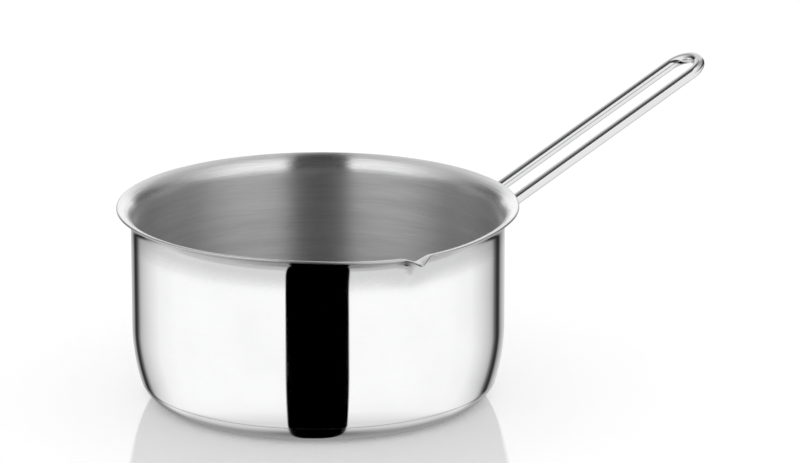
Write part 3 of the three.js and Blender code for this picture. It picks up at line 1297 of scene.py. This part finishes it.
@dataclass(frozen=True)
class Tent:
    """The light tent that metal sees: white, with a dark slit in front and dark edges behind.

    A direction has a part sideways, a part forwards to the camera and a part upwards, its height.
    Its bearing is the angle between its level part and the direction to the camera, and a ramp
    round the tent runs from the camera's side (0) to the far side (1).

    Attributes:
        fill: Strength of the even light on all that isn't polished.
        edge_turn: Bearing in radians of the middle between the two dark edges below the level.
        low_greys: Greys round the tent below the level.
        level_greys: Greys round the tent at the level.
        high_greys: Greys round the tent high up.
        under_greys: Greys from the level (0) straight down (1).
        deep: Heights between which white goes over to the low greys.
        lifted: Heights between which the low greys go over to the level ones.
        raised: Heights between which the level greys go over to the high ones.
        ceiling_shade: How much the panel overhead, behind the pan, darkens the tent.
        ceiling_height: Heights over which that panel sets in.
        ceiling_front: Forward parts over which it ends towards the camera.
        ceiling_back: Forward parts over which it ends towards the far side.
        ceiling_side: Sideways parts over which it ends on either side.
        slit: Half the width of the slit, as a sideways part.
        slit_spread: Share of it that comes and goes with the forward part.
        slit_least: Share of it that is there where the forward part is 0.
        slit_shift: How far the slit lies to the left.
        slit_edge: Distances from its edge over which it sets in.
        slit_back: Forward parts over which it ends behind the pan.
        slit_glow: Light that is left in it above the level.
        slit_height: Heights over which that light sets in.
    """

    fill: float = 0.7
    edge_turn: float = math.radians(-3.5)
    low_greys: Stops = (
        (0.0, 1.0), (0.52, 1.0), (0.62, 0.93), (0.69, 0.75), (0.745, 0.59), (0.772, 0.47),
        (0.798, 0.15), (0.82, 0.035), (0.845, 0.035), (0.875, 0.36), (0.925, 0.6), (1.0, 0.8),
    )
    level_greys: Stops = (
        (0.0, 1.0), (0.26, 1.0), (0.33, 0.85), (0.42, 0.5), (0.5, 0.32), (0.61, 0.12),
        (0.68, 0.03), (0.82, 0.03), (0.86, 1.0), (1.0, 1.0),
    )
    high_greys: Stops = (
        (0.0, 1.0), (0.33, 1.0), (0.5, 0.7), (0.6, 0.45), (0.77, 0.36), (0.84, 0.75), (1.0, 0.75),
    )
    under_greys: Stops = (
        (0.0, 1.0), (0.5, 1.0), (0.55, 0.99), (0.6, 0.965), (0.63, 0.945), (0.65, 0.89),
        (0.675, 0.84), (0.7, 0.785), (0.72, 0.73), (0.81, 0.72), (0.9, 0.66), (0.95, 0.52),
        (1.0, 0.28),
    )
    deep: Fade = (-0.7, -0.45)
    lifted: Fade = (-0.06, 0.0)
    raised: Fade = (0.28, 0.52)
    ceiling_shade: float = 0.57
    ceiling_height: Fade = (0.6, 0.7)
    ceiling_front: Fade = (-0.14, -0.06)
    ceiling_back: Fade = (-0.6, -0.5)
    ceiling_side: Fade = (0.22, 0.34)
    slit: float = 0.324
    slit_spread: float = 0.58
    slit_least: float = 0.45
    slit_shift: float = 0.012
    slit_edge: Fade = (-0.005, 0.005)
    slit_back: Fade = (-0.75, -0.65)
    slit_glow: float = 0.065
    slit_height: Fade = (0.0, 0.2)

    def walls(self, wiring: Wiring, bearing: Socket, height: Socket) -> Socket:
        """Greys of the tent's walls, by bearing and height.

        Args:
            wiring: Wiring of the world.
            bearing: Socket of the bearing.
            height: Socket of the height.

        Returns:
            The socket of the grey.
        """
        from_edges = wiring.math("SUBTRACT", bearing, self.edge_turn)
        turned_low, turn = (
            wiring.math("DIVIDE", wiring.math("ABSOLUTE", angle), math.pi)
            for angle in (from_edges, bearing)
        )
        low = wiring.ramp(turned_low, self.low_greys)
        level = wiring.ramp(turn, self.level_greys)
        high = wiring.ramp(turn, self.high_greys)
        under = wiring.ramp(wiring.math("MULTIPLY", height, -1.0), self.under_greys)
        below = wiring.mix(wiring.fall(height, self.deep), low, WHITE)
        above = wiring.mix(wiring.rise(height, self.raised), level, high)
        sides = wiring.mix(wiring.rise(height, self.lifted), below, above)
        return wiring.shade(sides, under)

    def ceiling(self, wiring: Wiring, sideways: Socket, forwards: Socket, height: Socket) -> Socket:
        """Shade of the panel overhead: its fades in all directions, multiplied.

        Args:
            wiring: Wiring of the world.
            sideways: Socket of the sideways part.
            forwards: Socket of the forward part.
            height: Socket of the height.

        Returns:
            The socket of the shade.
        """
        front = wiring.fall(forwards, self.ceiling_front)
        behind = wiring.math("MULTIPLY", front, wiring.rise(forwards, self.ceiling_back))
        above = wiring.rise(height, self.ceiling_height, self.ceiling_shade)
        beside = wiring.fall(wiring.math("ABSOLUTE", sideways), self.ceiling_side)
        return wiring.math("MULTIPLY", wiring.math("MULTIPLY", behind, above), beside)

    def opening(self, wiring: Wiring, sideways: Socket, forwards: Socket, height: Socket) -> Socket:
        """Light beside the slit (1) and in it (0, with a little glow above the level).

        The slit's half width grows evenly with the forward part, so that its image on a round
        wall is one width all the way up.

        Args:
            wiring: Wiring of the world.
            sideways: Socket of the sideways part.
            forwards: Socket of the forward part.
            height: Socket of the height.

        Returns:
            The socket of the light.
        """
        spread, least = self.slit_spread * self.slit, self.slit_least * self.slit
        half_width = wiring.math("MULTIPLY_ADD", forwards, spread, least)
        across = wiring.math("ABSOLUTE", wiring.math("ADD", sideways, self.slit_shift))
        beside = wiring.rise(wiring.math("SUBTRACT", across, half_width), self.slit_edge)
        outside = wiring.math("MAXIMUM", beside, wiring.fall(forwards, self.slit_back))
        glow = wiring.rise(height, self.slit_height, self.slit_glow)
        return wiring.math("MAXIMUM", outside, glow)

    def build(self, right: Vector, front: Vector) -> None:
        """Puts the tent round the scene: metal sees it, the camera sees white, all else even light.

        Args:
            right: Level direction to the right of the picture.
            front: Level direction from the pan to the camera.
        """
        world = bpy.data.worlds.new("light_tent")
        wiring = Wiring.fresh(world)
        bpy.context.scene.world = world
        direction = wiring.node("ShaderNodeTexCoord").outputs["Generated"]
        sideways, forwards = (
            wiring.node("ShaderNodeVectorMath", {0: direction, 1: tuple(way)},
                        operation="DOT_PRODUCT").outputs["Value"]
            for way in (right, front)
        )
        height = wiring.node("ShaderNodeSeparateXYZ", {0: direction}).outputs["Z"]
        walls = self.walls(wiring, wiring.math("ARCTAN2", sideways, forwards), height)
        ceiling = self.ceiling(wiring, sideways, forwards, height)
        opening = self.opening(wiring, sideways, forwards, height)
        lit = wiring.math("MULTIPLY", opening, wiring.math("SUBTRACT", 1.0, ceiling))
        even, seen, mirrored = (
            wiring.node("ShaderNodeBackground", {"Color": colour, "Strength": strength}).outputs[0]
            for colour, strength in (
                (WHITE, self.fill), (WHITE, 1.0), (wiring.shade(walls, lit), 1.0))
        )
        rays = wiring.node("ShaderNodeLightPath").outputs
        metal = {0: rays["Is Glossy Ray"], 1: even, 2: mirrored}
        first = wiring.node("ShaderNodeMixShader", metal).outputs[0]
        camera = {0: rays["Is Camera Ray"], 1: first, 2: seen}
        second = wiring.node("ShaderNodeMixShader", camera).outputs[0]
        wiring.node("ShaderNodeOutputWorld", {"Surface": second})


@dataclass
class Studio:
    """Floor, light and camera.

    Attributes:
        azimuth: Direction of the camera in radians, from -Y towards +X.
        elevation: Height of the camera over the level in radians.
        distance: Distance of the camera from its target.
        target: Point that the camera's place is reckoned from.
        lens: Focal length in millimetres.
        aim: How far right of and above the target the middle of the picture lies.
        view_end: Distance up to which the camera sees.
        floor_half_width: Half the width of the floor.
        floor_cells: Number of squares along the floor's edge.
        floor_drop: Depth of the floor under the pan.
        floor_paper: Colour of the floor.
        floor_glow: How much the camera sees the floor lifted towards white.
        contact: Radius of the dark patch that metal sees under the pan.
        contact_rings: Radii of the patch's rings, as shares of its radius.
        contact_fade: Shares of its radius between which it clears up.
        contact_greys: How clear it is over that way.
        contact_columns: Number of columns round the patch.
        contact_drop: Depth of the patch under the pan.
        sun_strength: Strength of the light from behind.
        sun_elevation: Height of that light over the level in radians.
        sun_width: Apparent width of that light in radians.
    """

    azimuth: float = math.radians(-28.5)
    elevation: float = math.radians(16.7)
    distance: float = 2.2
    target: tuple[float, float, float] = (0.0, 0.0, 0.043)
    lens: float = 227.5
    aim: tuple[float, float] = (82.0 / PIXELS_PER_METRE, 64.2 / PIXELS_PER_METRE)
    view_end: float = 100.0
    floor_half_width: float = 6.0
    floor_cells: int = 8
    floor_drop: float = 0.0002
    floor_paper: Colour = (0.97, 0.97, 0.97, 1.0)
    floor_glow: float = 0.12
    contact: float = 0.08
    contact_rings: tuple[float, ...] = (0.5, 1.0, 1.35)
    contact_fade: Fade = (0.9, 1.35)
    contact_greys: Stops = (
        (0.0, 0.42), (0.07, 0.48), (0.12, 0.75), (0.17, 0.97), (0.22, 1.0), (1.0, 1.0),
    )
    contact_columns: int = 96
    contact_drop: float = 0.0001
    sun_strength: float = 5.5
    sun_elevation: float = math.radians(8)
    sun_width: float = math.radians(1.2)

    @property
    def right(self) -> Vector:
        """Level direction to the right of the picture."""
        return Vector((math.cos(self.azimuth), math.sin(self.azimuth), 0.0))

    @property
    def front(self) -> Vector:
        """Level direction from the pan to the camera."""
        return Vector((math.sin(self.azimuth), -math.cos(self.azimuth), 0.0))

    def camera(self) -> None:
        """Places the camera at the photograph's angle and turns it to the middle of the picture."""
        up = Vector((0.0, 0.0, math.sin(self.elevation)))
        back = math.cos(self.elevation) * self.front + up
        target = Vector(self.target)
        place = target + self.distance * back
        middle = target + self.aim[0] * self.right + self.aim[1] * back.cross(self.right)
        data = bpy.data.cameras.new("camera")
        data.lens = self.lens
        data.sensor_width = SENSOR_WIDTH
        data.clip_end = self.view_end
        made = bpy.data.objects.new("camera", data)
        made.location = place
        made.rotation_euler = (middle - place).to_track_quat("-Z", "Y").to_euler()
        bpy.context.scene.collection.objects.link(made)
        bpy.context.scene.camera = made

    @staticmethod
    def lay(
        name: str,
        points: np.ndarray,
        faces: Sequence[Any],
        material: Material,
        unseen: Sequence[str],
    ) -> None:
        """Lays a flat sheet that is no piece of the pan.

        Args:
            name: Name of the object and its mesh.
            points: Points of the sheet.
            faces: Numbers of the points of each face.
            material: Its material.
            unseen: Kinds of rays that pass it by.
        """
        mesh = bpy.data.meshes.new(name)
        mesh.from_pydata(points.reshape(-1, 3).tolist(), [], faces)
        mesh.materials.append(material)
        made = bpy.data.objects.new(name, mesh)
        for rays in unseen:
            setattr(made, f"visible_{rays}", False)
        bpy.context.scene.collection.objects.link(made)

    def floor(self) -> None:
        """Lays a wide pale floor just under the pan, lifted to white for the camera alone.

        Metal sees the light tent in its place.
        """
        cell = np.arange(self.floor_cells)
        row = self.floor_cells + 1
        edge = np.linspace(-self.floor_half_width, self.floor_half_width, row)
        x, y = np.meshgrid(edge, edge)
        points = np.stack([x, y, np.full_like(x, -self.floor_drop)], axis=-1)
        low = (cell[:, None] * row + cell).ravel()
        faces = np.stack([low, low + 1, low + row + 1, low + row], axis=-1)
        material = bpy.data.materials.new("pale_floor")
        wiring = Wiring.fresh(material)
        path = wiring.node("ShaderNodeLightPath")
        glow = wiring.math("MULTIPLY", path.outputs["Is Camera Ray"], self.floor_glow)
        paper = wiring.node("ShaderNodeBsdfDiffuse", {"Color": self.floor_paper})
        lift = wiring.node("ShaderNodeEmission", {"Color": WHITE, "Strength": glow})
        both = wiring.node("ShaderNodeAddShader", {0: paper.outputs[0], 1: lift.outputs[0]})
        wiring.node("ShaderNodeOutputMaterial", {"Surface": both.outputs[0]})
        self.lay("studio_floor", points, faces.tolist(), material, ["glossy"])

    def contact_shade(self) -> None:
        """Lays a dark disc that only reflections see, as the shade where pan and floor meet.

        Its rings are circles; it is dark up to the start of its fade and clears up to the end.
        """
        columns, rings = self.contact_columns, len(self.contact_rings)
        angle = np.linspace(0.0, 2.0 * math.pi, columns, endpoint=False)
        radius = self.contact * np.array(self.contact_rings)[:, None]
        level = np.full((rings, columns), -self.contact_drop)
        points = np.stack([radius * np.cos(angle), radius * np.sin(angle), level], axis=-1)
        column = np.arange(columns)
        beside = (column + 1) % columns
        low = np.arange(rings - 1)[:, None] * columns
        high = low + columns
        quads = np.stack([low + column, high + column, high + beside, low + beside], axis=-1)
        faces = [column.tolist(), *quads.reshape(-1, 4).tolist()]
        material = bpy.data.materials.new("contact_shade")
        wiring = Wiring.fresh(material)
        place = {0: wiring.node("ShaderNodeTexCoord").outputs["Object"]}
        distance = wiring.node("ShaderNodeVectorMath", place, operation="LENGTH").outputs["Value"]
        start, end = (share * self.contact for share in self.contact_fade)
        clear = wiring.ramp(wiring.rise(distance, (start, end)), self.contact_greys)
        gauze = wiring.node("ShaderNodeBsdfTransparent", {"Color": clear})
        wiring.node("ShaderNodeOutputMaterial", {"Surface": gauze.outputs[0]})
        self.lay("contact_shade", points, faces, material, ["camera", "diffuse", "shadow"])

    def sun(self) -> None:
        """Sets a soft light low behind the pan, so that its shadow falls towards the camera."""
        data = bpy.data.lights.new("back_light", "SUN")
        data.energy = self.sun_strength
        data.angle = self.sun_width
        made = bpy.data.objects.new("back_light", data)
        up = Vector((0.0, 0.0, math.sin(self.sun_elevation)))
        travel = math.cos(self.sun_elevation) * self.front - up
        made.rotation_euler = travel.to_track_quat("-Z", "Y").to_euler()
        made.visible_glossy = False
        bpy.context.scene.collection.objects.link(made)

    def set_up(self) -> None:
        """Builds the studio and leaves the picture's tones as they are rendered."""
        bpy.context.scene.view_settings.view_transform = "Standard"
        self.camera()
        self.floor()
        self.contact_shade()
        self.sun()
        Tent().build(self.right, self.front)
        log.info("studio: floor, back light, light tent and camera")


def main() -> None:
    """Builds and dresses the saucepan piece by piece, then sets the studio up round it."""
    logging.basicConfig(level=logging.INFO, format="%(name)s: %(message)s")
    effects = Effects()
    curve = PanCurve()
    vessel = Vessel(curve)
    vessel.dress(effects)
    Base(curve).dress(effects)
    Handle(curve, vessel.rim_height).dress(effects)
    Studio().set_up()


if __name__ == "__main__":
    main()
